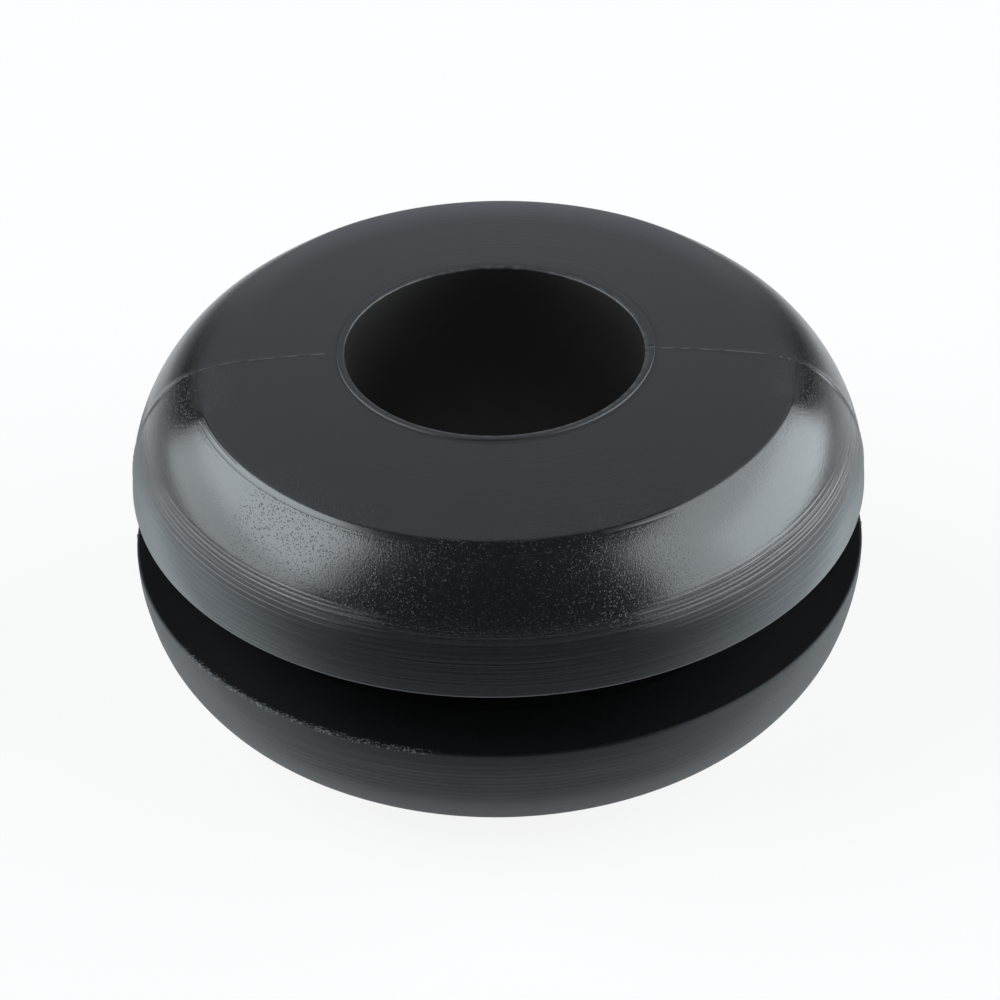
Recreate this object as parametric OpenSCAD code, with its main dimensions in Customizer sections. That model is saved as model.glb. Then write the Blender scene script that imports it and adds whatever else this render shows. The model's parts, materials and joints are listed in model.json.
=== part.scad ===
// Moulded rubber cable grommet: two domed flanges either side of a panel groove,
// with a plain round bore through both. It is one piece, turned about the Z axis,
// and its origin lies on that axis at mid height, which is the middle of the panel.

/* [Flanges] */
// Diameter over both flanges
flange_d = 20; // [17:0.5:26]
// Height over both faces, lip to lip
height = 10; // [8:0.5:14]
// Radial width of the rounded shoulder, from the rim in to the face
shoulder_w = 1.9; // [1:0.1:2.5]

/* [Faces] */
// How far each face falls on its way out to the shoulder
face_fall = 0.38; // [0.2:0.02:0.6]
// How far each face bulges above a straight slope
face_crown = 0.05; // [0.01:0.01:0.08]

/* [Bore] */
// Diameter of the cable's bore
bore_d = 8; // [5:0.5:9]
// Width of the raised lip round each end of the bore
lip_w = 0.2; // [0.1:0.05:0.4]
// Height of that lip over the face
lip_h = 0.04; // [0.02:0.01:0.12]

/* [Panel groove] */
// Width of the groove, as the thickest panel that it takes
groove_w = 1.9; // [1:0.1:2.5]
// Diameter of the groove's floor, as the hole in the panel
groove_d = 12; // [10.5:0.5:15]

/* [Parting line] */
// Width of the fine flash where the halves of the mould met
flash_w = 0.1; // [0.05:0.05:0.3]
// Height of that flash over the flanges
flash_h = 0.03; // [0.01:0.01:0.1]

/* [Hidden] */
$fn = 96;
rubber = [0.24, 0.25, 0.26];

flange_r = flange_d / 2;
bore_r = bore_d / 2;
groove_r = groove_d / 2;
half_h = height / 2;
half_groove = groove_w / 2;

// The face runs from the foot of the lip out to the edge where the shoulder starts
lip_foot = [bore_r + lip_w, half_h - lip_h];
face_edge = [flange_r - shoulder_w, lip_foot.y - face_fall];

// The face is one arc over those two points
face_chord = face_edge - lip_foot;
face_arc_r = norm(face_chord) ^ 2 / (8 * face_crown) + face_crown / 2;
face_down = [face_chord.y, -face_chord.x] / norm(face_chord);
face_arc_centre = (lip_foot + face_edge) / 2 + face_down * (face_arc_r - face_crown);

// The shoulder is one arc from that edge to the rim, upright where the groove cuts it off
shoulder_h = face_edge.y - half_groove;
shoulder_arc_r = (shoulder_w ^ 2 + shoulder_h ^ 2) / (2 * shoulder_w);
shoulder_centre_x = flange_r - shoulder_arc_r;

// Section of the upper flange under its face and shoulder, from inner_r out.
// Where proud isn't 0, the face and the shoulder stand that much further out.
module flange_section(inner_r, proud = 0) {
    intersection() {
        translate([inner_r, half_groove])
            square([flange_r + proud - inner_r, half_h - half_groove]);
        translate(face_arc_centre) circle(face_arc_r + proud);
        union() {
            translate([shoulder_centre_x, half_groove]) circle(shoulder_arc_r + proud);
            translate([0, half_groove])
                square([max(shoulder_centre_x, inner_r), shoulder_arc_r + proud]);
        }
    }
}

// Section of the raised lip round the upper end of the bore
module lip_section() {
    translate([bore_r, half_groove]) square([lip_w, half_h - half_groove]);
}

// Section of the wall between the flanges, behind the groove's floor
module groove_wall_section() {
    translate([bore_r, -half_groove]) square([groove_r - bore_r, groove_w]);
}

// Draws its children on the upper side and, mirrored, on the lower side
module both_sides() {
    children();
    mirror([0, 1]) children();
}

module turned_body() {
    rotate_extrude() {
        both_sides() {
            flange_section(bore_r);
            lip_section();
        }
        groove_wall_section();
    }
}

// A thin slice along X of a slightly larger pair of flanges, which starts inside the lip
module parting_flash() {
    intersection() {
        rotate_extrude() both_sides() flange_section(bore_r + lip_w / 2, flash_h);
        cube([flange_d + 2 * flash_h, flash_w, height], center = true);
    }
}

module grommet() {
    color(rubber) {
        turned_body();
        parting_flash();
    }
}

grommet();
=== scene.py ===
"""A moulded rubber cable grommet on a pale studio floor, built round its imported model.

The grommet is one turned shell. Its section is drawn from a few driving sizes, spun about
the bore's axis, and then marked as the real one is: fine turned rings on both rims, narrow
lands beside the upper face, a worn edge at both sides, flash on the parting line, crumbs on
the lower rim's edge and a nick in the bore's lip. Sizes are in millimetres until the
finished mesh is scaled to the frame's metres. Azimuths are in degrees from +X towards +Y.
"""

import json
import logging
import math
from dataclasses import dataclass, field
from enum import Enum
from typing import Any

import bmesh
import bpy
from mathutils import Matrix, Vector, noise


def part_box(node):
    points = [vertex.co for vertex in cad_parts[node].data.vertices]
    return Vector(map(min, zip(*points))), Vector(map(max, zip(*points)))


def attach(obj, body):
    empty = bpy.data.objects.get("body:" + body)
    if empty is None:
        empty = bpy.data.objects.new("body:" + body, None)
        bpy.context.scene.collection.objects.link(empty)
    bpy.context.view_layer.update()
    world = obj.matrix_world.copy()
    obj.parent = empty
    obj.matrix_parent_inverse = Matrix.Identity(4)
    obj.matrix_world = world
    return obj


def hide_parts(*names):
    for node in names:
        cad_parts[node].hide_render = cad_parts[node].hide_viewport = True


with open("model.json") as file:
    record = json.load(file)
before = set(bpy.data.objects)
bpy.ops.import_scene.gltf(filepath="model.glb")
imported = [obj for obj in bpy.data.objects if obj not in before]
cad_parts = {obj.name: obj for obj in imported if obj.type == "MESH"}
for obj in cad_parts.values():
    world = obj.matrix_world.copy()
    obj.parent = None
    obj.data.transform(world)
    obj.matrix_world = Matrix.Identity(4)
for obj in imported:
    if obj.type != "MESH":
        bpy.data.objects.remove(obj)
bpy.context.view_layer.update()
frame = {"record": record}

MM = 0.001
LOG = logging.getLogger("grommet")


def eased(value: float, low: float, high: float) -> float:
    """Gives a smooth step.

    Args:
        value: Where to read the step.
        low: Where the step is still 0. It may be above high, and the step then falls.
        high: Where the step has reached 1.

    Returns:
        A share from 0 to 1.
    """
    share = min(1.0, max(0.0, (value - low) / (high - low)))
    return share * share * (3.0 - 2.0 * share)


@dataclass(frozen=True)
class Stretch:
    """A stretch of some measure, such as the azimuth, that fades out on either side."""

    start: float
    end: float
    fade: float

    def share(self, value: float) -> float:
        """Gives 1 within the stretch, falling smoothly to 0 over fade on either side."""
        return eased(value, self.start - self.fade, self.start) * eased(value, self.end + self.fade, self.end)

    def moved(self, by: float) -> "Stretch":
        """Gives the same stretch further on."""
        return Stretch(self.start + by, self.end + by, self.fade)


class Zone(Enum):
    """The parts of the grommet's skin that were cut differently in the mould."""

    BORE = "bore"
    LIP = "lip"
    FACE = "face"
    SHOULDER = "shoulder"
    GROOVE = "groove"


@dataclass(frozen=True)
class GrommetSizes:
    """The driving sizes of the section, in millimetres, and what follows from them.

    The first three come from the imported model, and those up to lip_h are the source's own.
    The rim ends rim_top degrees up the shoulder's arc. A point within slack of a zone's end
    still counts as in it, and the last edge_w of the face counts as shoulder.
    """

    flange_r: float
    half_height: float
    bore_r: float
    groove_half: float = 0.95
    groove_r: float = 6.0
    shoulder_w: float = 1.9
    face_fall: float = 0.38
    face_crown: float = 0.05
    lip_w: float = 0.2
    lip_h: float = 0.04
    rim_top: float = 27.0
    slack: float = 0.03
    edge_w: float = 0.08

    @classmethod
    def from_frame(cls, record: dict[str, Any]) -> "GrommetSizes":
        """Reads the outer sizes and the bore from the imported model.

        Args:
            record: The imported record, whose mounts give the bore's radius.

        Returns:
            The sizes of this grommet.
        """
        _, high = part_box("grommet")
        bore = next(m for m in record["mounts"] if m["kind"] == "bore")
        return cls(round(high.y / MM, 4), round(high.z / MM, 4), bore["dims"]["r_mm"])

    @property
    def lip_foot(self) -> Vector:
        """Where the face starts, at the foot of the bore's lip."""
        return Vector((self.bore_r + self.lip_w, 0.0, self.half_height - self.lip_h))

    @property
    def face_edge(self) -> Vector:
        """Where the face ends and the shoulder starts."""
        return Vector((self.flange_r - self.shoulder_w, 0.0, self.lip_foot.z - self.face_fall))

    @property
    def face_arc_r(self) -> float:
        """Radius of the face's own arc in the section."""
        chord = (self.face_edge - self.lip_foot).length
        return chord ** 2 / (8.0 * self.face_crown) + self.face_crown / 2.0

    @property
    def face_centre(self) -> Vector:
        """Centre of the face's arc, well below the grommet."""
        chord = self.face_edge - self.lip_foot
        down = Vector((chord.z, 0.0, -chord.x)).normalized()
        return (self.lip_foot + self.face_edge) / 2.0 + down * (self.face_arc_r - self.face_crown)

    @property
    def shoulder_arc_r(self) -> float:
        """Radius of the shoulder's arc, which stands upright where the groove cuts it off."""
        rise = self.face_edge.z - self.groove_half
        return (self.shoulder_w ** 2 + rise ** 2) / (2.0 * self.shoulder_w)

    @property
    def shoulder_centre(self) -> Vector:
        """Centre of the shoulder's arc, level with the groove's wall."""
        return Vector((self.flange_r - self.shoulder_arc_r, 0.0, self.groove_half))

    @property
    def edge_angle(self) -> float:
        """How far up the shoulder's arc the face's edge lies, in degrees."""
        reach = self.face_edge - self.shoulder_centre
        return math.degrees(math.atan2(reach.z, reach.x))

    def up_the_arc(self, radius: float, height: float) -> float:
        """Gives how far up the shoulder's arc a point of the section lies, in degrees."""
        centre = self.shoulder_centre
        return math.degrees(math.atan2(height - centre.z, radius - centre.x))

    def zone(self, radius: float, height: float) -> Zone:
        """Names the part of the skin that holds a point of the upper half's section.

        Args:
            radius: The point's distance from the bore's axis.
            height: Its height over the middle of the panel groove, not below 0.

        Returns:
            The zone.
        """
        if height < self.groove_half + self.slack and radius < self.flange_r - self.slack:
            return Zone.BORE if radius < self.bore_r + self.slack else Zone.GROOVE
        if radius < self.lip_foot.x + self.slack:
            return Zone.LIP if height > self.half_height - 1.5 * self.lip_w else Zone.BORE
        return Zone.FACE if radius < self.face_edge.x - self.edge_w else Zone.SHOULDER


class SectionPen:
    """Draws one wire in the plane of the section, where x is the radius and z the height."""

    def __init__(self, mesh: bmesh.types.BMesh, radius: float, height: float) -> None:
        """Puts the pen down at a first point.

        Args:
            mesh: The mesh that takes the wire.
            radius: The point's distance from the bore's axis.
            height: Its height over the middle of the panel groove.
        """
        self.mesh = mesh
        self.end = bmesh.ops.create_vert(mesh, co=(radius, 0.0, height))["vert"][0]

    def _run(self, steps: int, **turn: Any) -> None:
        """Spins or slides the wire's end on, a step at a time."""
        made = bmesh.ops.spin(self.mesh, geom=[self.end], steps=steps, axis=(0.0, 1.0, 0.0), **turn)
        self.end = next(g for g in made["geom_last"] if isinstance(g, bmesh.types.BMVert))

    def line(self, radius: float, height: float, steps: int = 1) -> None:
        """Draws a straight run to a point, in equal steps."""
        way = Vector((radius, 0.0, height)) - self.end.co
        self._run(steps, cent=(0.0, 0.0, 0.0), angle=0.0, dvec=way / steps)

    def arc(self, centre: Vector, degrees: float, steps: int) -> None:
        """Draws an arc about a point. Positive degrees turn from up towards out."""
        self._run(steps, cent=centre, angle=math.radians(degrees), dvec=(0.0, 0.0, 0.0))


@dataclass(frozen=True)
class Sector:
    """A sector of the spin: where it ends, in degrees, and how many steps it takes."""

    end: float
    steps: int


@dataclass(frozen=True)
class Land:
    """A narrow smooth land beside the upper face, with a fine line cut outside it."""

    azimuths: Stretch
    width: float
    height: float = 0.002
    blend: float = 0.03
    line_depth: float = 0.006
    line_width: float = 0.01
    line_blend: float = 0.025

    def lift(self, along: float, azimuth: float) -> float:
        """Gives the height of the land, or the depth of the line outside it.

        Args:
            along: The distance down the shoulder from the face's edge, in millimetres.
            azimuth: The azimuth in degrees, from 0 to 360.

        Returns:
            How far the skin stands out, in millimetres.
        """
        land = Stretch(self.blend, self.width - self.blend, self.blend).share(along)
        line = Stretch(self.width, self.width + self.line_width, self.line_blend).share(along)
        return self.azimuths.share(azimuth) * (self.height * land - self.line_depth * line)


@dataclass(frozen=True)
class TurnedRings:
    """Fine rings on the rims, left by the tool that turned the mould.

    Coarser ones lie near the rims' upper end, left and right of the front. In front all of
    them end lower by front_drop degrees up the arc. They bite in by at least overcut of their
    depth, so that none stands out.
    """

    depth: float = 0.0045
    pitch: float = 0.085
    top: tuple[float, float] = (27.0, 21.0)
    front: Stretch = Stretch(250.0, 290.0, 20.0)
    front_drop: float = 7.0
    overcut: float = 0.7
    waves_round: float = 1.4
    coarse_depth: float = 0.004
    coarse_waves_round: float = 7.0
    coarse_seed: float = 40.0
    coarse: Stretch = Stretch(19.0, 25.0, 3.0)
    sides: tuple[Stretch, Stretch] = (Stretch(196.0, 246.0, 14.0), Stretch(300.0, 350.0, 14.0))

    def lift(self, along: float, up: float, azimuth: float) -> float:
        """Gives the rings' depth, which is never above the true surface.

        Args:
            along: The distance up the rim from the groove's edge, in millimetres.
            up: How far up the shoulder's arc the point lies, in degrees.
            azimuth: The azimuth in degrees, from 0 to 360.

        Returns:
            How far the skin stands out, in millimetres.
        """
        across, turn = along / self.pitch, math.radians(azimuth)
        fine = self._waves(across, turn, self.waves_round)
        broken = self._waves(across + self.coarse_seed, turn, self.coarse_waves_round)
        coarse = max(side.share(azimuth) for side in self.sides) * self.coarse.share(up)
        drop = self.front_drop * self.front.share(azimuth)
        fade = eased(up, *(end - drop for end in self.top))
        return fade * self.depth * (fine - self.overcut) \
            + self.coarse_depth * coarse * (broken - self.overcut)

    @staticmethod
    def _waves(across: float, turn: float, scale: float) -> float:
        """Reads a noise whose scale round the bore's axis is given."""
        return noise.noise(Vector((across, scale * math.cos(turn), scale * math.sin(turn))))


@dataclass(frozen=True)
class SoftEdge:
    """The face's edge worn to a gentle round at the two sides, but not in front or behind."""

    front: Stretch = Stretch(197.0, 345.0, 9.0)
    behind: Stretch = Stretch(64.0, 116.0, 34.0)
    reach: float = 1.2
    radius: float = 5.4

    def cut(self, apart: float, azimuth: float) -> float:
        """Gives how much of the corner is gone, in millimetres.

        Args:
            apart: The distance from the edge along the skin, in millimetres.
            azimuth: The azimuth in degrees, from 0 to 360.

        Returns:
            The depth under the sharp corner.
        """
        share = 1.0 - self.front.share(azimuth) - self.behind.share(azimuth)
        return share * max(0.0, self.reach - apart) ** 2 / (2.0 * self.radius)


@dataclass(frozen=True)
class Crumbs:
    """Torn crumbs of rubber along the left of the lower rim's edge at the groove."""

    azimuths: Stretch = Stretch(214.0, 257.0, 5.0)
    width: float = 0.08
    reach: float = 0.035
    coarse_scale: float = 0.5
    coarse_share: float = 0.4
    fine_scale: float = 1.9

    def lift(self, azimuth: float) -> float:
        """Gives how far the edge is torn out at an azimuth, in millimetres."""
        coarse = noise.noise(Vector((azimuth * self.coarse_scale, 3.0, 0.0)))
        fine = noise.noise(Vector((azimuth * self.fine_scale, 9.0, 0.0)))
        return self.azimuths.share(azimuth) * self.reach * max(0.0, self.coarse_share * coarse + fine)


@dataclass(frozen=True)
class Flash:
    """The fine flash that the two halves of the mould left along the X axis.

    It starts beyond the lip, where it leaves a nick instead, the deeper one on the right, and
    it grows thicker down the shoulder.
    """

    half_width: float = 0.030
    face_height: float = 0.007
    face_start: tuple[float, float] = (4.3, 5.2)
    shoulder_height: float = 0.026
    shoulder_growth: tuple[float, float] = (55.0, 30.0)
    nick_depth: float = 0.012
    left_nick: float = 0.2

    def lift(self, zone: Zone, radius: float, up: float, side: float) -> float:
        """Gives the crest's height over the skin.

        Args:
            zone: The part of the skin that the crest crosses.
            radius: The distance from the bore's axis, in millimetres.
            up: How far up the shoulder's arc the point lies, in degrees.
            side: 1 on the right of the bore and -1 on its left.

        Returns:
            The height in millimetres.
        """
        if zone is Zone.LIP:
            return -self.nick_depth if side > 0 else -self.left_nick * self.nick_depth
        if zone is Zone.FACE:
            broken = 0.75 + 0.6 * noise.noise(Vector((radius * 4.0, side, 2.0)))
            return self.face_height * broken * eased(radius, *self.face_start)
        if zone is Zone.SHOULDER:
            more = (self.shoulder_height - self.face_height) * eased(up, *self.shoulder_growth)
            return (self.face_height + more) * (0.85 + 0.3 * noise.noise(Vector((up * 0.35, side, 6.0))))
        return 0.0


@dataclass
class Grommet:
    """The moulding: its sizes, its marks, the mesh that they make and its finish.

    The lip is wider behind, by up to lip_drift near lip_wide_at, and its top is pulled to the
    left. The section's points lie closest within near_edge of the face's edge.
    """

    sizes: GrommetSizes
    lands: tuple[Land, ...] = (
        Land(Stretch(199.0, 250.0, 4.0), 0.24), Land(Stretch(290.0, 302.0, 3.0), 0.14, 0.004))
    rings: TurnedRings = field(default_factory=TurnedRings)
    soft_edge: SoftEdge = field(default_factory=SoftEdge)
    crumbs: Crumbs = field(default_factory=Crumbs)
    flash: Flash = field(default_factory=Flash)
    sectors: tuple[Sector, ...] = (
        Sector(180.0, 100), Sector(190.0, 8), Sector(262.0, 144), Sector(306.0, 44), Sector(360.0, 30))
    lip_round: float = 0.05
    lip_shoulder: float = 0.6
    crease: float = 0.012
    crease_w: float = 0.035
    lip_drift: float = 0.17
    lip_wide_at: float = 65.0
    lip_reach: float = 0.9
    lip_pull: float = 0.09
    lip_pull_rise: tuple[float, float] = (-1.2, -0.1)
    edge_round: float = 0.06
    near_edge: float = 0.45
    groove_round: float = 0.06
    groove_fillet: float = 0.1
    lower_bulge: float = 0.04
    bulge_up: Stretch = Stretch(26.0, 36.0, 14.0)

    def draw_half_section(self, mesh: bmesh.types.BMesh) -> None:
        """Draws the upper half of the section, from the bore out and back to the groove's floor.

        Args:
            mesh: The empty mesh that takes the wire.
        """
        s = self.sizes
        top, foot = s.half_height, s.lip_foot
        pen = SectionPen(mesh, s.bore_r, 0.0)
        pen.line(s.bore_r, top - self.lip_round, 5)
        pen.arc(Vector((s.bore_r + self.lip_round, 0.0, top - self.lip_round)), 90.0, 3)
        lip_edge = self.lip_shoulder * s.lip_h
        pen.line(foot.x - lip_edge, top, 2)
        pen.arc(Vector((foot.x - lip_edge, 0.0, top - lip_edge)), 80.0, 3)
        pen.line(foot.x + 0.004, foot.z - self.crease)
        outer_start = self._on_face(foot.x + self.crease_w)
        pen.line(outer_start.x, outer_start.z)
        self._draw_face(pen)
        edge = pen.end
        first, near = (math.degrees(reach / s.shoulder_arc_r)
                       for reach in (1.15 * self.edge_round, self.near_edge))
        pen.arc(s.shoulder_centre, first, 1)
        pen.arc(s.shoulder_centre, near - first, 10)
        pen.arc(s.shoulder_centre, s.edge_angle - near - s.rim_top, 17)
        upright = math.degrees(math.asin(self.groove_round / s.shoulder_arc_r))
        pen.arc(s.shoulder_centre, s.rim_top - upright, 44)
        corner = Vector((pen.end.co.x - self.groove_round, 0.0, s.groove_half + self.groove_round))
        pen.arc(corner, 90.0, 4)
        pen.line(pen.end.co.x - 0.06, s.groove_half)
        pen.line(s.groove_r + self.groove_fillet, s.groove_half, 5)
        hollow = Vector((s.groove_r + self.groove_fillet, 0.0, s.groove_half - self.groove_fillet))
        pen.arc(hollow, -90.0, 3)
        pen.line(s.groove_r, 0.0, 3)
        bmesh.ops.bevel(mesh, geom=[edge], offset=self.edge_round, offset_type="OFFSET",
                        segments=4, profile=0.5, affect="VERTICES", material=-1)

    def _on_face(self, radius: float) -> Vector:
        """Gives the point of the face's arc at a radius."""
        centre, reach = self.sizes.face_centre, self.sizes.face_arc_r
        return Vector((radius, 0.0, centre.z + math.sqrt(reach ** 2 - (radius - centre.x) ** 2)))

    def _draw_face(self, pen: SectionPen) -> None:
        """Draws the crowned face in three runs, closest near the lip and near the edge."""
        s = self.sizes
        for radius, steps in ((s.lip_foot.x + 0.22, 5), (s.face_edge.x - 0.5, 16), (s.face_edge.x, 3)):
            start, goal = pen.end.co - s.face_centre, self._on_face(radius) - s.face_centre
            pen.arc(s.face_centre, math.degrees(start.angle(goal)), steps)

    def spin(self, mesh: bmesh.types.BMesh) -> None:
        """Spins the closed section a full turn, a sector at a time, and closes the seam.

        Args:
            mesh: The mesh that holds the section and takes the shell.
        """
        geometry, turned = mesh.verts[:] + mesh.edges[:], 0.0
        for sector in self.sectors:
            made = bmesh.ops.spin(mesh, geom=geometry, cent=(0.0, 0.0, 0.0), axis=(0.0, 0.0, 1.0),
                                  angle=math.radians(sector.end - turned), steps=sector.steps)
            geometry, turned = made["geom_last"], sector.end
        bmesh.ops.remove_doubles(mesh, verts=mesh.verts[:], dist=1e-4)
        bmesh.ops.recalc_face_normals(mesh, faces=mesh.faces[:])

    def cut_flash_feet(self, mesh: bmesh.types.BMesh) -> None:
        """Cuts the two edge loops that the flash stands between, on either side of the bore."""
        for foot in (-self.flash.half_width, self.flash.half_width):
            near = [f for f in mesh.faces if abs(f.calc_center_median().y) < 0.2]
            parts = {e for f in near for e in f.edges} | {v for f in near for v in f.verts}
            bmesh.ops.bisect_plane(mesh, geom=[*near, *parts], dist=1e-5,
                                   plane_co=(0.0, foot, 0.0), plane_no=(0.0, 1.0, 0.0))

    def mark(self, mesh: bmesh.types.BMesh) -> None:
        """Moves the shell's vertices in or out by the marks of the mould and of wear.

        Args:
            mesh: The spun shell, in millimetres.
        """
        s = self.sizes
        for vert in mesh.verts:
            x, y, z = vert.co
            radius, height = math.hypot(x, y), abs(z)
            azimuth = math.degrees(math.atan2(y, x)) % 360.0
            zone = s.zone(radius, height)
            out = Vector((x / radius, y / radius, 0.0))
            vert.co += out * self._lip_shift(radius, z, azimuth)
            up = s.up_the_arc(radius, height)
            normal = self._section_normal(zone, up, out, z)
            if zone is Zone.SHOULDER:
                vert.co += normal * self._shoulder_lift(up, azimuth, z > 0.0)
            if zone in (Zone.FACE, Zone.SHOULDER):
                vert.co -= self._edge_normal(out, z) * self.soft_edge.cut(
                    self._from_edge(zone, radius, up), azimuth)
            if abs(y) < 1e-4:
                vert.co += normal * self.flash.lift(zone, radius, up, math.copysign(1.0, x))
            on_corner = height < s.groove_half + self.crumbs.width and radius > s.flange_r - self.crumbs.width
            if z < 0.0 and on_corner:
                vert.co += (out + Vector((0.0, 0.0, 1.0))) * self.crumbs.lift(azimuth)

    def _lip_shift(self, radius: float, z: float, azimuth: float) -> float:
        """Gives how far the lip is drawn out: it is wider behind, and pulled to the left above."""
        s = self.sizes
        near = eased(radius, s.lip_foot.x + self.lip_reach, s.lip_foot.x)
        wide = max(0.0, math.cos(math.radians(azimuth - self.lip_wide_at))) \
            * eased(radius, s.bore_r, s.lip_foot.x)
        left = (0.5 - 0.5 * math.cos(math.radians(azimuth))) ** 3
        top = eased(z, *(s.half_height + end for end in self.lip_pull_rise))
        return near * (self.lip_drift * wide + self.lip_pull * left * top)

    def _section_normal(self, zone: Zone, up: float, out: Vector, z: float) -> Vector:
        """Gives the skin's outward direction at a point of a flange."""
        angle = math.radians(up if zone is Zone.SHOULDER else 90.0)
        return out * math.cos(angle) + Vector((0.0, 0.0, math.copysign(math.sin(angle), z)))

    def _edge_normal(self, out: Vector, z: float) -> Vector:
        """Gives the direction half way between the face's and the shoulder's at the edge."""
        s = self.sizes
        tilt = math.asin((s.face_edge.x - s.face_centre.x) / s.face_arc_r)
        middle = (math.radians(90.0 + s.edge_angle) - tilt) / 2.0
        return out * math.cos(middle) + Vector((0.0, 0.0, math.copysign(math.sin(middle), z)))

    def _from_edge(self, zone: Zone, radius: float, up: float) -> float:
        """Gives the distance from the face's edge along the skin, in millimetres."""
        s = self.sizes
        if zone is Zone.FACE:
            return s.face_edge.x - radius
        return abs(math.radians(s.edge_angle - up)) * s.shoulder_arc_r

    def _shoulder_lift(self, up: float, azimuth: float, upper: bool) -> float:
        """Adds up the turned rings with the lands above, or with the bulge below."""
        s = self.sizes
        lift = self.rings.lift(math.radians(up) * s.shoulder_arc_r, up, azimuth)
        if upper:
            along = math.radians(s.edge_angle - up) * s.shoulder_arc_r
            return lift + sum(land.lift(along, azimuth) for land in self.lands)
        return lift + self.lower_bulge * self.bulge_up.share(up)

    def build(self) -> bpy.types.Object:
        """Builds the shell and hangs it in the frame.

        Returns:
            The grommet's object, at the origin, with its place in its mesh.
        """
        mesh = bmesh.new()
        self.draw_half_section(mesh)
        bmesh.ops.mirror(mesh, geom=mesh.verts[:] + mesh.edges[:], matrix=Matrix.Identity(4),
                         merge_dist=1e-5, axis="Z")
        self.spin(mesh)
        self.cut_flash_feet(mesh)
        self.mark(mesh)
        bmesh.ops.scale(mesh, vec=(MM, MM, MM), verts=mesh.verts[:])
        for face in mesh.faces:
            face.smooth = True
        data = bpy.data.meshes.new("grommet_rubber")
        mesh.to_mesh(data)
        mesh.free()
        piece = bpy.data.objects.new("grommet_rubber", data)
        bpy.context.scene.collection.objects.link(piece)
        LOG.info("grommet_rubber: %d faces", len(data.polygons))
        return piece

    def dress(self, piece: bpy.types.Object) -> None:
        """Gives the shell its finish and its place among the frame's bodies."""
        piece.data.materials.append(RubberFinish().material(self.sizes))
        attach(piece, "root")
        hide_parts("grommet")


class Signal:
    """An output socket that takes part in Python arithmetic as numbers do."""

    def __init__(self, graph: "Graph", socket: bpy.types.NodeSocket) -> None:
        """Wraps a socket of a graph."""
        self.graph = graph
        self.socket = socket

    def __add__(self, other: "Signal | float") -> "Signal":
        """Adds."""
        return self.graph.maths("ADD", self, other)

    def __sub__(self, other: "Signal | float") -> "Signal":
        """Takes other away."""
        return self.graph.maths("SUBTRACT", self, other)

    def __rsub__(self, other: float) -> "Signal":
        """Is taken away from other."""
        return self.graph.maths("SUBTRACT", other, self)

    def __mul__(self, other: "Signal | float") -> "Signal":
        """Multiplies."""
        return self.graph.maths("MULTIPLY", self, other)

    def __truediv__(self, other: "Signal | float") -> "Signal":
        """Divides by other."""
        return self.graph.maths("DIVIDE", self, other)

    __radd__ = __add__
    __rmul__ = __mul__


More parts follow.
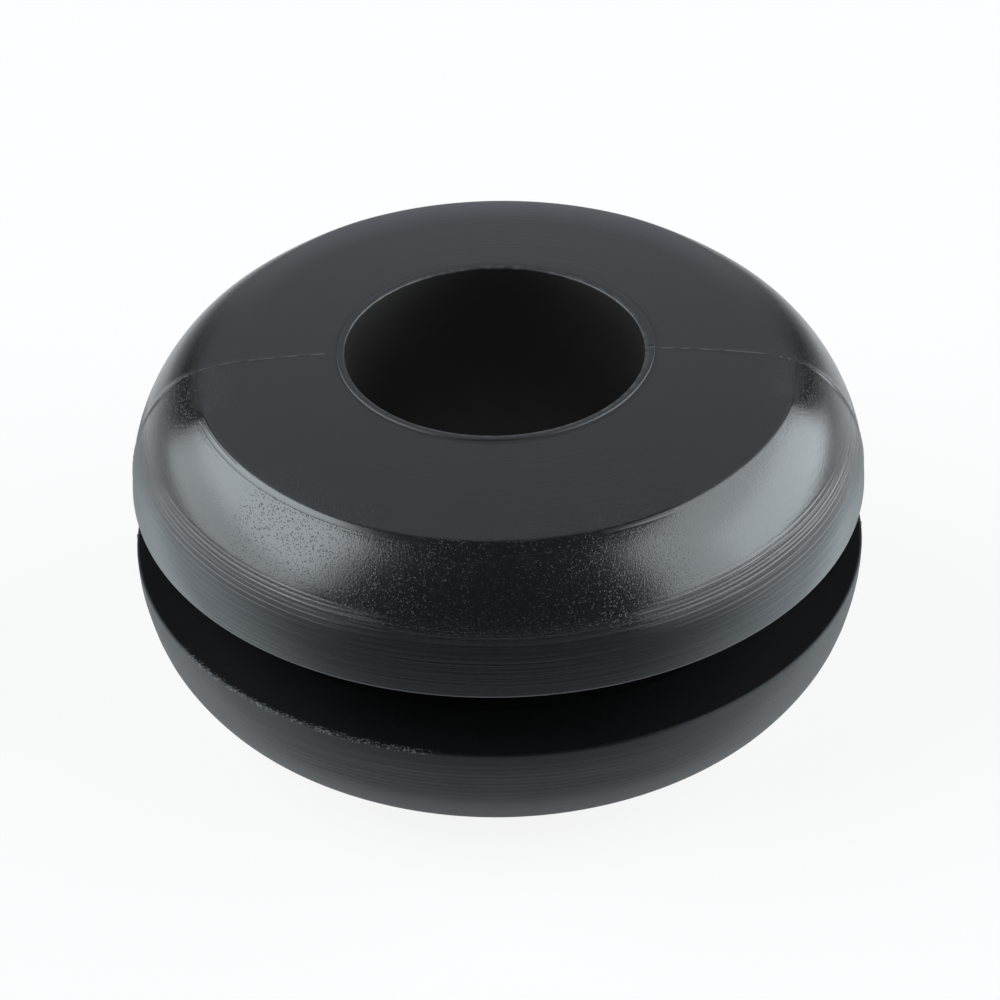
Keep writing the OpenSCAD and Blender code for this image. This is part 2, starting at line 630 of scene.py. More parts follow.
class Graph:
    """A material's or the world's node tree, with its few ways of adding nodes."""

    def __init__(self, tree: bpy.types.NodeTree) -> None:
        """Empties a node tree and takes it over."""
        self.tree = tree
        tree.nodes.clear()

    def node(self, kind: str, settings: dict[str, Any], sockets: dict[int | str, Any],
             output: int | str = 0) -> Signal:
        """Adds one node.

        Args:
            kind: The node's type.
            settings: Its properties, which are set before its sockets are filled.
            sockets: A value or a signal for each input, by name or place.
            output: Which output to give back.

        Returns:
            The signal of that output.
        """
        node = self.tree.nodes.new(kind)
        for name, value in settings.items():
            setattr(node, name, value)
        for name, value in sockets.items():
            if isinstance(value, Signal):
                self.tree.links.new(value.socket, node.inputs[name])
            else:
                node.inputs[name].default_value = value
        return Signal(self, node.outputs[output]) if node.outputs else Signal(self, None)

    def maths(self, operation: str, *values: Signal | float) -> Signal:
        """Adds a Math node for an operation on one to three values."""
        return self.node("ShaderNodeMath", {"operation": operation}, dict(enumerate(values)))

    def step(self, value: Signal, low: Signal | float, high: Signal | float) -> Signal:
        """Adds a smooth step from 0 at low to 1 at high. Low may be above high."""
        return self.node("ShaderNodeMapRange", {"interpolation_type": "SMOOTHSTEP"},
                         {0: value, 1: low, 2: high, 3: 0.0, 4: 1.0})

    def border(self, value: Signal, base: float, ends: tuple[float, float]) -> Signal:
        """Adds a smooth step between two ends that are given beyond a base."""
        return self.step(value, base + ends[0], base + ends[1])

    def between(self, value: Signal, where: Stretch) -> Signal:
        """Adds a window that is 1 within a stretch and fades out on either side."""
        return self.step(value, where.start - where.fade, where.start) \
            * self.step(value, where.end + where.fade, where.end)

    def noise(self, place: Signal, scale: float, detail: float = 2.0) -> Signal:
        """Adds a noise from 0 to 1 with a scale in cells for each unit of place."""
        return self.node("ShaderNodeTexNoise", {"noise_dimensions": "3D"},
                         {"Vector": place, "Scale": scale, "Detail": detail})

    def profile(self, value: Signal, stops: list[tuple[float, float]]) -> Signal:
        """Reads a height from straight runs between stops. It is 1 at both ends.

        Args:
            value: Where to read, from 0 to 1.
            stops: The place and the height of each stop, both from 0 to 1.

        Returns:
            The height.
        """
        made = self.node("ShaderNodeValToRGB", {}, {0: value})
        ramp = made.socket.node.color_ramp
        ramp.elements[0].color = ramp.elements[1].color
        for place, height in stops:
            stop = ramp.elements.new(place)
            stop.color = (height, height, height, 1.0)
        return made

    def total(self, first: Signal, *others: Signal) -> Signal:
        """Adds signals up."""
        return sum(others, first)

    def split(self, vector: Signal) -> list[Signal]:
        """Takes a vector apart into its three values."""
        apart = self.node("ShaderNodeSeparateXYZ", {}, {0: vector})
        return [Signal(self, output) for output in apart.socket.node.outputs]

    def vector(self, x: Signal | float, y: Signal | float, z: Signal | float) -> Signal:
        """Joins three values to a vector."""
        return self.node("ShaderNodeCombineXYZ", {}, {0: x, 1: y, 2: z})

    def blend(self, share: Signal, low: Signal | tuple[float, ...],
              high: Signal | tuple[float, ...]) -> Signal:
        """Mixes two colours, from low where the share is 0 to high where it is 1."""
        return self.node("ShaderNodeMix", {"data_type": "RGBA"}, {0: share, 6: low, 7: high}, 2)


@dataclass(frozen=True)
class Skin:
    """One of the rubber's surfaces: its colours, its gloss, and how far turning drew that out.

    Its roughness follows the drawn lines by lines_share and a faint cloud by cloud_share.
    """

    colour: tuple[float, float, float, float]
    worn_colour: tuple[float, float, float, float]
    specular: float
    roughness: float
    cloud_share: float
    lines_share: float = 0.0
    anisotropic: float = 0.0
    tint: tuple[float, float, float, float] = (1.0, 1.0, 1.0, 1.0)
    ior: float = 1.5

    def rough(self, cloud: Signal, lines: Signal) -> Signal:
        """Gives the roughness where the cloud and the drawn lines have these levels."""
        level = self.roughness + self.lines_share * lines if self.lines_share else self.roughness
        return level + self.cloud_share * cloud


@dataclass(frozen=True)
class SkinPlace:
    """Where a shading point lies on the grommet, in millimetres and degrees.

    The azimuth runs from -180 to 180 here, turn is the same in radians, and along is the
    distance up the shoulder's arc.
    """

    place: Signal
    x: Signal
    y: Signal
    z: Signal
    radius: Signal
    height: Signal
    turn: Signal
    azimuth: Signal
    up: Signal
    along: Signal

    @classmethod
    def read(cls, g: Graph, sizes: GrommetSizes) -> "SkinPlace":
        """Reads the place from Object coordinates.

        Args:
            g: The material's graph.
            sizes: The section's sizes.

        Returns:
            The place.
        """
        place = g.node("ShaderNodeVectorMath", {"operation": "SCALE"},
                       {0: g.node("ShaderNodeTexCoord", {}, {}, "Object"), "Scale": 1.0 / MM})
        x, y, z = g.split(place)
        radius = g.maths("SQRT", x * x + y * y)
        height = g.maths("ABSOLUTE", z)
        turn = g.maths("ARCTAN2", y, x)
        centre = sizes.shoulder_centre
        up = g.maths("DEGREES", g.maths("ARCTAN2", height - centre.z, radius - centre.x))
        along = up * (math.radians(1.0) * sizes.shoulder_arc_r)
        return cls(place, x, y, z, radius, height, turn, g.maths("DEGREES", turn), up, along)


@dataclass(frozen=True)
class SkinShares:
    """How far a shading point belongs to each part of the skin, from 0 to 1."""

    face: Signal
    outer_face: Signal
    outside: Signal
    shoulder: Signal
    turned: Signal
    bore: Signal
    groove: Signal
    below: Signal
    in_front: Signal


@dataclass(frozen=True)
class TurnedBand:
    """The band over the rims that turning left matt, up to a ragged edge.

    Its edge is in degrees over the rim's end, lies higher to the left by lean a millimetre,
    and lets the band cover the whole of the lower shoulder.
    """

    end: float = 0.0
    whole: float = -17.0
    whole_in_front: float = 10.0
    below: float = 25.0
    lean: float = 0.25
    front_drop: float = 2.0
    ragged: float = 2.0
    ragged_round: float = 6.0
    ragged_along: float = 0.8

    def share(self, g: Graph, at: SkinPlace, below: Signal, in_front: Signal, rim_top: float) -> Signal:
        """Adds the band's share to a graph.

        Args:
            g: The material's graph.
            at: Where the point lies.
            below: How far it lies in the lower half.
            in_front: How far it lies in front.
            rim_top: Where the rim ends, in degrees up the shoulder's arc.

        Returns:
            The share.
        """
        place = g.vector(at.turn * self.ragged_round, at.along * self.ragged_along, 0.0)
        ragged = g.noise(place, 1.0) - 0.5
        up = at.up - self.below * below + self.ragged * ragged + self.lean * at.x + self.front_drop * in_front
        return g.step(up, rim_top + self.end, rim_top + self.whole + self.whole_in_front * in_front)


@dataclass(frozen=True)
class SkinBorders:
    """Where the parts of the skin end.

    Each pair is where a part has faded out and where it is whole, in millimetres beyond the
    size that it follows. The lands' pair is in degrees beyond the face's edge, and the front's
    in degrees from the middle of the front.
    """

    turned: TurnedBand = TurnedBand()
    edge_blur: float = 0.05
    worn_blur: float = 0.4
    crisp_edge: Stretch = Stretch(-163.0, -15.0, 9.0)
    face_height: tuple[float, float] = (-0.4, -0.2)
    outer_face: tuple[float, float] = (6.6, 7.9)
    bore_radius: tuple[float, float] = (0.4, 0.3)
    bore_height: tuple[float, float] = (0.0, -0.02)
    groove_height: tuple[float, float] = (0.03, -0.01)
    groove_radius: tuple[float, float] = (-0.05, -0.09)
    lower_half: tuple[float, float] = (0.1, -0.1)
    front: tuple[float, float] = (50.0, 15.0)
    land: tuple[float, float] = (-2.8, -2.4)
    lands: tuple[Stretch, Stretch] = (Stretch(-165.0, -108.0, 6.0), Stretch(-71.0, -55.0, 4.0))

    def shares(self, g: Graph, at: SkinPlace, sizes: GrommetSizes) -> SkinShares:
        """Works out which parts of the skin a point belongs to.

        Args:
            g: The material's graph.
            at: Where the point lies.
            sizes: The section's sizes.

        Returns:
            The shares.
        """
        edge, lip_top = sizes.face_edge, sizes.half_height - sizes.lip_h
        worn = 1.0 - g.between(at.azimuth, self.crisp_edge)
        face = g.step((at.radius - edge.x) / (self.edge_blur + worn * self.worn_blur), 1.0, -1.0) \
            * g.border(at.height, edge.z, self.face_height)
        outside = g.border(at.radius, edge.x, (-self.edge_blur, self.edge_blur))
        bore = g.border(at.radius, sizes.bore_r, self.bore_radius) \
            * g.border(at.height, lip_top, self.bore_height)
        groove = g.border(at.height, sizes.groove_half, self.groove_height) \
            * g.border(at.radius, sizes.flange_r, self.groove_radius) * (1.0 - bore)
        below = g.step(at.z, *self.lower_half)
        in_front = g.step(g.maths("ABSOLUTE", at.azimuth + 90.0), *self.front)
        turned = outside * self.turned.share(g, at, below, in_front, sizes.rim_top)
        land = outside * g.border(at.up, sizes.edge_angle, self.land) \
            * g.maths("MAXIMUM", *(g.between(at.azimuth, land) for land in self.lands))
        return SkinShares(face, face * g.step(at.radius, *self.outer_face), outside,
                          (outside - turned) * (1.0 - land), turned, bore, groove, below, in_front)


@dataclass(frozen=True)
class Grain:
    """The shoulders' grain: soft peel, finer waves, and pits that show as paler specks in patches.

    Depths are in micrometres and scales in cells a millimetre. The pits are deeper over some
    azimuths, each by its own share.
    """

    peel_um: float = 0.7
    peel_scale: float = 8.5
    fine_um: float = 1.7
    fine_scale: float = 20.0
    pit_um: float = 3.5
    pit_scale: float = 15.0
    pit_edge: tuple[float, float] = (0.32, 0.12)
    pit_depth: float = 0.45
    deeper: tuple[tuple[float, Stretch], ...] = (
        (0.45, Stretch(-110.0, -74.0, 8.0)), (1.5, Stretch(-136.0, -117.0, 8.0)),
        (1.3, Stretch(-70.0, -60.0, 5.0)), (1.6, Stretch(-178.0, -166.0, 4.0)),
        (1.6, Stretch(-14.0, 2.0, 4.0)))
    on_face: float = 0.12
    on_outer_face: float = 0.6
    speck_edge: tuple[float, float] = (0.28, 0.10)
    specks_on_face: float = 0.4
    patch_scale: float = 7.0
    patch_edge: tuple[float, float] = (0.42, 0.60)

    def cells(self, g: Graph, at: SkinPlace) -> Signal:
        """Adds the distance from the nearest pit's middle, in cells."""
        return g.node("ShaderNodeTexVoronoi", {"feature": "F1"},
                      {"Vector": at.place, "Scale": self.pit_scale, "Randomness": 1.0})

    def relief(self, g: Graph, at: SkinPlace, on: SkinShares, cell: Signal) -> Signal:
        """Adds the grain's height to a graph.

        Args:
            g: The material's graph.
            at: Where the point lies.
            on: Its shares of the skin.
            cell: The distance from the nearest pit's middle.

        Returns:
            The height in micrometres.
        """
        peel = g.noise(at.place, self.peel_scale, 1.0) - 0.5
        fine = g.noise(at.place, self.fine_scale, 1.0) - 0.5
        depth = sum((more * g.between(at.azimuth, where) for more, where in self.deeper), self.pit_depth)
        share = on.shoulder + self.on_face * on.face + self.on_outer_face * on.outer_face
        return share * (peel * (2.0 * self.peel_um) + fine * (2.0 * self.fine_um)
                        - g.step(cell, *self.pit_edge) * depth * self.pit_um)

    def specks(self, g: Graph, at: SkinPlace, on: SkinShares, cell: Signal) -> Signal:
        """Adds the share of the paler specks in the pits' middles."""
        patch = g.step(g.noise(at.place, self.patch_scale, 0.0), *self.patch_edge)
        return (on.shoulder + self.specks_on_face * on.outer_face) * g.step(cell, *self.speck_edge) * patch


@dataclass(frozen=True)
class ScoredLines:
    """Fine lines scored beside the face's edge, in degrees up the arc and over azimuths."""

    depth_um: float = 6.0
    lines: tuple[tuple[Stretch, Stretch], ...] = (
        (Stretch(52.55, 52.75, 0.25), Stretch(-162.0, -108.0, 2.0)),
        (Stretch(54.3, 54.4, 0.2), Stretch(-162.0, -148.0, 2.0)),
        (Stretch(54.1, 54.2, 0.2), Stretch(-70.0, -58.0, 2.0)))

    def depth(self, g: Graph, at: SkinPlace) -> Signal:
        """Adds the lines' depth in micrometres."""
        return g.total(*(g.between(at.up, place) * g.between(at.azimuth, azimuths)
                         for place, azimuths in self.lines)) * self.depth_um


@dataclass(frozen=True)
class RingCuts:
    """Single lines that the turning tool cut deeper into a stretch of the rims.

    Each cut is a place in degrees up the shoulder's arc and a depth in micrometres. Its
    lower flank is steep and its upper one is shallow.
    """

    cuts: tuple[tuple[float, float], ...]
    steep: float = 0.45
    shallow: float = 0.9
    top: float = 32.0
    deepest: float = 20.0

    def relief(self, g: Graph, up: Signal) -> Signal:
        """Adds the cuts' relief to a graph.

        Args:
            g: The material's graph.
            up: How far up the arc the point lies, in degrees.

        Returns:
            The height in micrometres, which is 0 or less.
        """
        stops = []
        for up_the_arc, depth in sorted(self.cuts):
            floor = 1.0 - depth / self.deepest
            for turn, height in ((-0.5 * self.steep, 1.0), (0.5 * self.steep, floor),
                                 (0.5 * self.steep + self.shallow, 1.0)):
                stops.append(((up_the_arc + turn) / self.top, height))
        return (g.profile(up / self.top, stops) - 1.0) * self.deepest


@dataclass(frozen=True)
class Streaks:
    """A noise drawn out round the bore's axis, with its scales across and round."""

    across: float
    about: float
    seed: float
    detail: float = 2.0

    def height(self, g: Graph, across: Signal, at: SkinPlace) -> Signal:
        """Adds the noise to a graph, from -0.5 to 0.5."""
        place = g.vector(across * self.across, at.turn * self.about, self.seed)
        return g.noise(place, 1.0, self.detail) - 0.5


@dataclass(frozen=True)
class TurnedLines:
    """What the turning tool drew: single cuts and fine lines on the rims, faint traces on the faces.

    Depths are in micrometres, and ups in degrees up the shoulder's arc. The cuts wander up
    and down the arc and break off in places. The lines fade out where the rims end, and in
    front they fade out lower.
    """

    left: RingCuts = RingCuts(((27.4, 5.0), (25.9, 8.0), (24.2, 16.0), (22.6, 8.0), (21.1, 12.0),
                               (19.0, 17.0), (17.0, 10.0), (15.0, 8.0), (12.6, 7.0), (2.4, 6.0)))
    right: RingCuts = RingCuts(((28.2, 3.0), (26.4, 5.0), (24.4, 14.0), (22.9, 7.0), (21.5, 11.0),
                                (19.3, 18.0), (16.4, 12.0), (14.3, 9.0), (11.0, 7.0), (2.4, 6.0)))
    front: RingCuts = RingCuts(((21.6, 2.0), (19.4, 4.0), (17.0, 4.0), (15.1, 5.0), (13.2, 11.0),
                                (11.4, 6.0), (9.6, 6.0), (7.8, 5.0), (5.5, 5.0), (2.4, 4.0)))
    on_left: Stretch = Stretch(-157.0, -112.0, 7.0)
    on_right: Stretch = Stretch(-66.0, -16.0, 7.0)
    wander: float = 0.8
    wander_round: float = 2.2
    broken_round: float = 5.0
    broken_up: float = 0.8
    line_um: float = 10.0
    lines: Streaks = Streaks(12.5, 1.1, 3.0)
    hair: Streaks = Streaks(30.0, 2.4, 7.0, 0.0)
    top: tuple[float, float] = (29.0, 25.0)
    below: float = 25.0
    fainter_below: float = 0.7
    front_top: tuple[float, float] = (13.0, 18.0)
    fainter_in_front: float = 0.8
    trace_um: float = 5.0
    traces: Streaks = Streaks(12.0, 1.2, 11.0)
    lip_ring_um: float = 3.0
    lip_ring: Stretch = Stretch(0.17, 0.18, 0.03)

    def cut_relief(self, g: Graph, at: SkinPlace, on: SkinShares) -> Signal:
        """Adds the single cuts' height to a graph.

        Args:
            g: The material's graph.
            at: Where the point lies.
            on: Its shares of the skin.

        Returns:
            The height in micrometres.
        """
        wander = (g.noise(g.vector(at.turn * self.wander_round, 0.0, 5.0), 1.0, 1.0) - 0.5) * self.wander
        left, right = g.between(at.azimuth, self.on_left), g.between(at.azimuth, self.on_right)
        shares = ((self.left, left), (self.right, right), (self.front, 1.0 - left - right))
        place = at.up + wander
        cuts = g.total(*(share * cuts.relief(g, place) for cuts, share in shares))
        broken = g.vector(at.turn * self.broken_round, at.up * self.broken_up, 9.0)
        return on.outside * (0.5 + g.noise(broken, 1.0)) * cuts

    def line_relief(self, g: Graph, at: SkinPlace, on: SkinShares, lines: Signal) -> Signal:
        """Adds the fine lines' height to a graph.

        Args:
            g: The material's graph.
            at: Where the point lies.
            on: Its shares of the skin.
            lines: The lines' noise.

        Returns:
            The height in micrometres.
        """
        share = on.outside * g.step(at.up - self.below * on.below, *self.top) \
            * (1.0 - self.fainter_below * on.below) \
            * (1.0 - self.fainter_in_front * on.in_front * g.step(at.up, *self.front_top))
        hair = self.hair.height(g, at.along, at)
        return share * (lines * (2.0 * self.line_um) + hair * self.line_um)

    def trace_relief(self, g: Graph, at: SkinPlace, on: SkinShares, lip_edge: float) -> Signal:
        """Adds the face's traces and the faint ring beside the lip, in micrometres."""
        ring = self.lip_ring_um * g.between(at.radius, self.lip_ring.moved(lip_edge))
        return (1.0 - on.outside) * (self.traces.height(g, at.radius, at) * self.trace_um - ring)


@dataclass(frozen=True)
class PaleWearAndGlints:
    """Where the rubber is worn pale: along the flash's crest, on the lip and at the crumbs.

    Pairs are where each mark has faded out and where it is whole, in millimetres, and those
    called patch are levels of a noise whose scale is in cells a millimetre. The crest shows
    only beyond the lip on the left, and is broken on the faces. At the crumbs the pale colour
    is partly the torn rubber's own and partly painted glints off their edges.
    """

    crest_half: tuple[float, float] = (0.026, 0.010)
    crest_start: tuple[float, float] = (0.0, 0.5)
    crest_right: tuple[float, float] = (0.0, 0.1)
    crest_scale: float = 3.5
    crest_patch: tuple[float, float] = (0.58, 0.42)
    lip_radius: tuple[float, float] = (0.16, 0.06)
    lip_height: tuple[float, float] = (-0.05, 0.0)
    lip_scale: float = 4.0
    lip_patch: tuple[float, float] = (0.40, 0.62)
    lip_share: float = 0.5
    # The crumbs' pale colour is partly torn rubber and partly painted glints.
    crumbs: Stretch = Stretch(-146.0, -103.0, 4.0)
    crumb_and_glint_radius: tuple[float, float] = (9.84, 9.88)
    crumb_and_glint_height: Stretch = Stretch(-1.01, -0.9, 0.03)
    crumb_and_glint_scale: float = 16.0
    crumb_and_glint_patch: tuple[float, float] = (0.52, 0.64)

    def flash_share(self, g: Graph, at: SkinPlace, on: SkinShares, sizes: GrommetSizes) -> Signal:
        """Adds the share of the pale crest and lip to a graph.

        Args:
            g: The material's graph.
            at: Where the point lies.
            on: Its shares of the skin.
            sizes: The section's sizes.

        Returns:
            The share.
        """
        lip_edge, lip_top = sizes.bore_r + sizes.lip_w, sizes.half_height - sizes.lip_h
        patch = g.step(g.noise(at.place, self.crest_scale, 1.0), *self.crest_patch)
        crest = g.step(g.maths("ABSOLUTE", at.y), *self.crest_half) \
            * g.maths("MAXIMUM", g.border(at.radius, lip_edge, self.crest_start),
                      g.step(at.x, *self.crest_right)) \
            * (1.0 - on.face * patch)
        lip = g.border(at.radius, sizes.bore_r, self.lip_radius) \
            * g.border(at.height, lip_top, self.lip_height) \
            * g.step(g.noise(at.place, self.lip_scale, 3.0), *self.lip_patch)
        return g.maths("MAXIMUM", crest, self.lip_share * lip)

    def crumb_and_glint_share(self, g: Graph, at: SkinPlace) -> Signal:
        """Adds the share of the pale crumbs on the lower rim's edge, whose paleness is partly torn rubber and
        partly painted glints.
        """
        return g.between(at.azimuth, self.crumbs) * g.step(at.radius, *self.crumb_and_glint_radius) \
            * g.between(at.z, self.crumb_and_glint_height) \
            * g.step(g.noise(at.place, self.crumb_and_glint_scale, 1.0), *self.crumb_and_glint_patch)


@dataclass(frozen=True)
class RubberFinish:
    """Black moulded rubber: glossy and grained, drawn matt where it was turned, dull inside.

    Seen at a slant, the turned band takes the drawn skin's brighter sheen, by the shares and
    over the levels of Layer Weight's Facing that side_gloss lists.
    """

    glossy: Skin = Skin((0.0068, 0.0074, 0.0082, 1.0), (0.0100, 0.0107, 0.0115, 1.0), 1.0, 0.22, 0.04)
    turned: Skin = Skin((0.0052, 0.0057, 0.0065, 1.0), (0.0092, 0.0097, 0.0104, 1.0), 0.37, 0.48, 0.08,
                        0.15, 0.8, (0.90, 0.97, 1.0, 1.0))
    drawn: Skin = Skin((0.0052, 0.0057, 0.0065, 1.0), (0.0092, 0.0097, 0.0104, 1.0), 1.0, 0.47, 0.08,
                       0.15, 0.8, (0.93, 0.98, 1.0, 1.0), 2.0)
    bore: Skin = Skin((0.0105, 0.0085, 0.0085, 1.0), (0.0125, 0.0105, 0.0105, 1.0), 0.40, 0.52, 0.1)
    groove: Skin = Skin((0.0056, 0.0055, 0.0056, 1.0), (0.0080, 0.0078, 0.0076, 1.0), 0.06, 0.75, 0.1)
    speck_colour: tuple[float, float, float, float] = (0.034, 0.036, 0.040, 1.0)
    flash_colour: tuple[float, float, float, float] = (0.075, 0.078, 0.082, 1.0)
    # Pale crumbs: partly the torn rubber's own colour, partly painted glints.
    crumb_and_glint_colour: tuple[float, float, float, float] = (0.11, 0.113, 0.117, 1.0)
    face_rough: float = 0.28
    worn_rough: float = 0.03
    back_gloss: float = 0.15
    back: tuple[float, float] = (-1.0, 4.0)
    worn_scale: float = 5.0
    worn_patch: tuple[float, float] = (0.52, 0.75)
    cloud_scale: float = 0.7
    side_gloss: tuple[tuple[float, float, float], ...] = ((0.42, 0.18, 0.55), (0.58, 0.48, 0.70))
    side_gloss_lost_below: float = 0.65
    across_the_lines: float = 0.25
    borders: SkinBorders = SkinBorders()
    grain: Grain = Grain()
    scores: ScoredLines = ScoredLines()
    turning: TurnedLines = TurnedLines()
    wear_and_glints: PaleWearAndGlints = PaleWearAndGlints()

    def material(self, sizes: GrommetSizes) -> bpy.types.Material:
        """Builds the material on Object coordinates.

        Args:
            sizes: The section's sizes, which place the parts of the skin.

        Returns:
            The rubber.
        """
        made = bpy.data.materials.new("grommet_rubber")
        made.use_nodes = True
        g = Graph(made.node_tree)
        at = SkinPlace.read(g, sizes)
        on = self.borders.shares(g, at, sizes)
        cell = self.grain.cells(g, at)
        lines = self.turning.lines.height(g, at.along, at)
        relief = self.grain.relief(g, at, on, cell) - self.scores.depth(g, at) \
            + self.turning.cut_relief(g, at, on) + self.turning.line_relief(g, at, on, lines) \
            + self.turning.trace_relief(g, at, on, sizes.bore_r + sizes.lip_w)
        bump = g.node("ShaderNodeBump", {}, {"Strength": 1.0, "Distance": 1e-6, "Height": relief})
        # The crumbs' pale colour below is partly painted glints.
        wear_and_glints = ((self.grain.specks(g, at, on, cell), self.speck_colour),
                (self.wear_and_glints.flash_share(g, at, on, sizes), self.flash_colour),
                (self.wear_and_glints.crumb_and_glint_share(g, at), self.crumb_and_glint_colour))
        worn = g.step(g.noise(at.place, self.worn_scale, 3.0), *self.worn_patch)
        cloud = g.noise(at.place, self.cloud_scale, 3.0) - 0.5
        glossy_rough = self.glossy.rough(cloud, lines) + self.face_rough * on.face \
            + self.worn_rough * worn - self.back_gloss * on.outer_face * g.step(at.y, *self.back)
        mixed = self._shader(g, self.glossy, glossy_rough, worn, wear_and_glints, bump)
        for share, skin in ((on.turned, self.turned), (self._drawn_share(g, on), self.drawn),
                            (on.bore, self.bore), (on.groove, self.groove)):
            shader = self._shader(g, skin, skin.rough(cloud, lines), worn, wear_and_glints, bump)
            mixed = g.node("ShaderNodeMixShader", {}, {0: share, 1: mixed, 2: shader})
        g.node("ShaderNodeOutputMaterial", {}, {"Surface": mixed})
        return made

    def _drawn_share(self, g: Graph, on: SkinShares) -> Signal:
        """Adds the share of the drawn sheen, which grows as the skin turns away."""
        facing = g.node("ShaderNodeLayerWeight", {}, {"Blend": 0.5}, "Facing")
        sheen = g.total(*(share * g.step(facing, low, high) for share, low, high in self.side_gloss))
        return g.maths("MINIMUM", on.turned * (1.0 - self.side_gloss_lost_below * on.below) * sheen, 1.0)

    def _shader(self, g: Graph, skin: Skin, rough: Signal, worn: Signal,
                wear_and_glints: tuple[tuple[Signal, tuple[float, ...]], ...], bump: Signal) -> Signal:
        """Adds one skin's shader.

        Args:
            g: The material's graph.
            skin: The skin.
            rough: Its roughness.
            worn: How far it takes its worn colour.
            wear_and_glints: The shares and the colours of what lies over it.
            bump: The relief's normal.

        Returns:
            The shader.
        """
        colour = g.blend(worn, skin.colour, skin.worn_colour)
        for share, pale in wear_and_glints:
            colour = g.blend(share, colour, pale)
        return g.node("ShaderNodeBsdfPrincipled", {}, {
            "Base Color": colour, "Roughness": rough, "Specular IOR Level": skin.specular,
            "Specular Tint": skin.tint, "IOR": skin.ior, "Anisotropic": skin.anisotropic,
            "Anisotropic Rotation": self.across_the_lines, "Normal": bump})


@dataclass
class Stage:
    """The pale floor that turns up into a low backdrop all round, in metres.

    Its colour greys outwards over the distances in sheet, which sheet_shape stretches. That grey is painted
    shade, as if less light reached the floor far from the grommet, and camera rays see the near white all
    over.
    """

    level: float
    radius: float = 1.3
    sides: int = 128
    cove: float = 0.06
    cove_steps: int = 6
    wall: float = 0.08
    colour: tuple[float, float, float, float] = (0.93, 0.93, 0.93, 1.0)
    # Painted shade: the far floor's grey, seen by all but camera rays.
    far_shade_colour: tuple[float, float, float, float] = (0.36, 0.36, 0.36, 1.0)
    sheet: tuple[float, float] = (0.018, 0.072)
    sheet_shape: tuple[float, float, float] = (0.5, 1.0, 1.0)
    own_white: float = 0.88
    gloss_share: float = 0.55

    def build(self) -> bpy.types.Object:
        """Builds the floor, its cove and the low wall.

        Returns:
            The floor's object, marked as stage.
        """
        mesh = bmesh.new()
        bmesh.ops.create_circle(mesh, cap_ends=True, segments=self.sides, radius=self.radius)
        for step in range(self.cove_steps + 1):
            edges = [e for e in mesh.edges if e.is_boundary]
            made = bmesh.ops.extrude_edge_only(mesh, edges=edges)
            verts = [v for v in made["geom"] if isinstance(v, bmesh.types.BMVert)]
            low, high = (math.radians(90.0 * k / self.cove_steps) for k in (step, step + 1))
            grow, rise = (0.0, self.wall) if step == self.cove_steps else (
                self.cove * (math.sin(high) - math.sin(low)), self.cove * (math.cos(low) - math.cos(high)))
            reach = verts[0].co.xy.length
            share = (reach + grow) / reach
            bmesh.ops.scale(mesh, vec=(share, share, 1.0), verts=verts)
            bmesh.ops.translate(mesh, vec=(0.0, 0.0, rise), verts=verts)
        bmesh.ops.translate(mesh, vec=(0.0, 0.0, self.level), verts=mesh.verts[:])
        for face in mesh.faces:
            face.smooth = len(face.verts) == 4
        data = bpy.data.meshes.new("floor")
        mesh.to_mesh(data)
        mesh.free()
        floor = bpy.data.objects.new("floor", data)
        bpy.context.scene.collection.objects.link(floor)
        data.materials.append(self._paint())
        LOG.info("floor: level %.4f m", self.level)
        return floor

    def _paint(self) -> bpy.types.Material:
        """Makes the matt floor, a white sheet that greys outwards.

        Part of its level is its own, for the camera and for gloss. Its grey far off is painted shade, which
        camera rays never see.
        """
        made = bpy.data.materials.new("floor_white")
        made.use_nodes = True
        g = Graph(made.node_tree)
        ray = g.node("ShaderNodeLightPath", {}, {}, "Is Camera Ray")
        glossy, through = (Signal(g, ray.socket.node.outputs[name])
                           for name in ("Is Glossy Ray", "Is Transmission Ray"))
        seen = g.maths("MAXIMUM", ray, g.maths("MAXIMUM", glossy, through) * self.gloss_share)
        place = g.node("ShaderNodeVectorMath", {"operation": "MULTIPLY"},
                       {0: g.node("ShaderNodeTexCoord", {}, {}, "Object"), 1: self.sheet_shape})
        reach = g.node("ShaderNodeVectorMath", {"operation": "LENGTH"}, {0: place}, "Value")
        # Beyond the sheet the colour greys into painted shade for all but camera rays.
        paint = g.blend(g.step(reach, *self.sheet) * (1.0 - ray), self.colour, self.far_shade_colour)
        lit = g.node("ShaderNodeBsdfDiffuse", {}, {"Color": paint})
        white = g.node("ShaderNodeEmission", {}, {"Color": paint, "Strength": 1.0 / self.colour[0]})
        both = g.node("ShaderNodeMixShader", {}, {0: seen * self.own_white, 1: lit, 2: white})
        g.node("ShaderNodeOutputMaterial", {}, {"Surface": both})
        return made


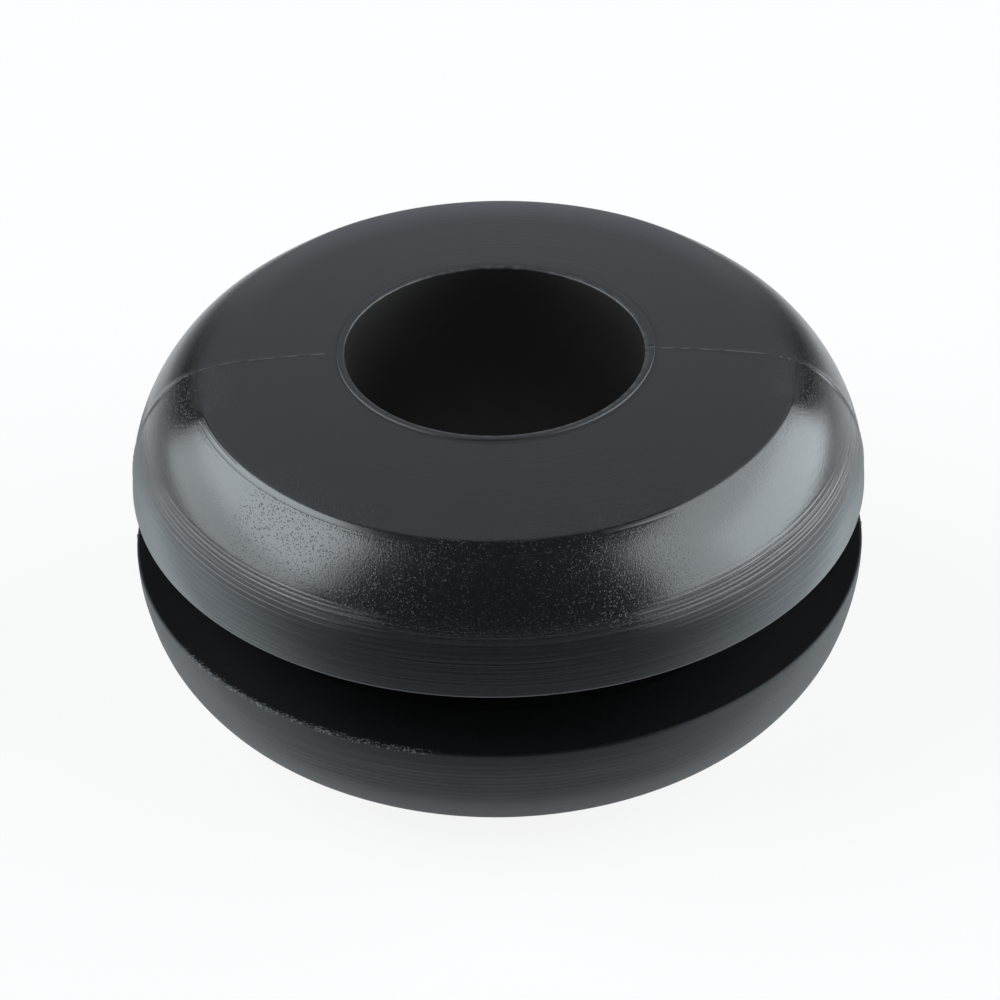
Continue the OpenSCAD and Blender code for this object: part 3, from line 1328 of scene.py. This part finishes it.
@dataclass(frozen=True)
class Softbox:
    """An upright soft lamp beside the grommet, with its edges as the grommet sees them.

    Azimuths are in degrees from the camera's side towards the right, and elevations in
    degrees straight out from the lamp's wall.
    """

    name: str
    wall: float
    start: float
    end: float
    low: float
    high: float
    radiance: float
    distance: float = 0.6
    colour: tuple[float, float, float] = (0.875, 0.96, 1.0)

    def build(self) -> None:
        """Hangs the lamp in its upright wall."""
        near, far, bottom, top = (self.distance * math.tan(math.radians(angle)) for angle in (
            self.start - self.wall, self.end - self.wall, self.low, self.high))
        data = bpy.data.lights.new(self.name, "AREA")
        data.shape = "RECTANGLE"
        data.size, data.size_y = far - near, top - bottom
        data.energy = self.radiance * math.pi * data.size * data.size_y
        data.color = self.colour
        lamp = bpy.data.objects.new(self.name, data)
        turn = math.radians(self.wall)
        out = Vector((math.sin(turn), -math.cos(turn), 0.0))
        side = Vector((math.cos(turn), math.sin(turn), 0.0))
        lamp.location = out * self.distance + side * (near + far) / 2.0 \
            + Vector((0.0, 0.0, (bottom + top) / 2.0))
        lamp.rotation_euler = out.to_track_quat("Z", "Y").to_euler()
        lamp.visible_camera = False
        bpy.context.scene.collection.objects.link(lamp)
        LOG.info("%s: %.2f W", self.name, data.energy)


@dataclass(frozen=True)
class Studio:
    """The lamps, and a dim room with a lighter card behind the grommet.

    Pairs are where the card has faded out and where it is whole, as parts of the direction's
    length: how far back, how far to a side, and how high its brighter foot reaches.
    """

    lamps: tuple[Softbox, ...] = (
        Softbox("softbox_left", -91.5, -128.0, -60.0, 0.0, 58.0, 2.4),
        Softbox("softbox_left_top", -91.5, -127.0, -52.0, 21.0, 58.0, 1.65, 0.59),
        Softbox("softbox_right", 91.0, 50.0, 130.0, 0.0, 56.0, 2.75),
        Softbox("softbox_right_low", 91.0, 74.0, 131.0, 0.0, 30.0, 1.35, 0.59),
    )
    front: tuple[float, float, float, float] = (0.035, 0.036, 0.038, 1.0)
    back: tuple[float, float, float, float] = (0.34, 0.365, 0.41, 1.0)
    horizon: tuple[float, float, float, float] = (1.08, 1.15, 1.25, 1.0)
    card_back: tuple[float, float] = (0.30, 0.62)
    card_aside: tuple[float, float] = (0.45, 0.10)
    card_foot: tuple[float, float] = (0.5, 0.1)

    def build(self) -> None:
        """Builds the lamps and the room's light, and sets the plain view transform."""
        for lamp in self.lamps:
            lamp.build()
        scene = bpy.context.scene
        scene.world = bpy.data.worlds.new("room")
        scene.world.use_nodes = True
        g = Graph(scene.world.node_tree)
        way = g.node("ShaderNodeTexCoord", {}, {}, "Generated")
        across, deep, high = g.split(way)
        behind = g.step(deep, *self.card_back) * g.step(g.maths("ABSOLUTE", across), *self.card_aside)
        card = g.blend(g.step(high, *self.card_foot), self.back, self.horizon)
        light = g.node("ShaderNodeBackground", {}, {"Color": g.blend(behind, self.front, card)})
        g.node("ShaderNodeOutputWorld", {}, {"Surface": light})
        scene.view_settings.view_transform = "Standard"


@dataclass(frozen=True)
class PhotoCamera:
    """The camera at the photograph's viewing angle, fitted to the grommet's edges.

    Angles are in degrees, the lens and the sensor in millimetres and the rest in metres.
    """

    elevation: float = 36.0
    distance: float = 0.128
    lens: float = 167.5
    sensor: float = 36.0
    near: float = 0.01
    far: float = 20.0
    roll: float = 1.0
    aim_right: float = 0.000032
    aim_up: float = -0.000017

    def build(self) -> None:
        """Makes the camera and hands it to the scene."""
        data = bpy.data.cameras.new("camera")
        data.lens, data.sensor_width = self.lens, self.sensor
        data.clip_start, data.clip_end = self.near, self.far
        camera = bpy.data.objects.new("camera", data)
        rise = math.radians(self.elevation)
        place = Vector((0.0, -math.cos(rise), math.sin(rise))) * self.distance
        up = Vector((0.0, math.sin(rise), math.cos(rise)))
        aim = Vector((self.aim_right, 0.0, 0.0)) + up * self.aim_up
        turned = (place - aim).to_track_quat("Z", "Y")
        camera.location = place
        camera.rotation_mode = "QUATERNION"
        camera.rotation_quaternion = turned @ Matrix.Rotation(
            math.radians(-self.roll), 3, "Z").to_quaternion()
        bpy.context.scene.collection.objects.link(camera)
        bpy.context.scene.camera = camera
        LOG.info("camera: %.0f mm at %.3f m", self.lens, self.distance)


def main() -> None:
    """Builds the grommet, its stage, its light and the camera."""
    logging.basicConfig(level=logging.INFO, format="%(name)s %(message)s")
    sizes = GrommetSizes.from_frame(frame["record"])
    grommet = Grommet(sizes)
    grommet.dress(grommet.build())
    Stage(level=-sizes.half_height * MM).build()
    Studio().build()
    PhotoCamera().build()


if __name__ == "__main__":
    main()
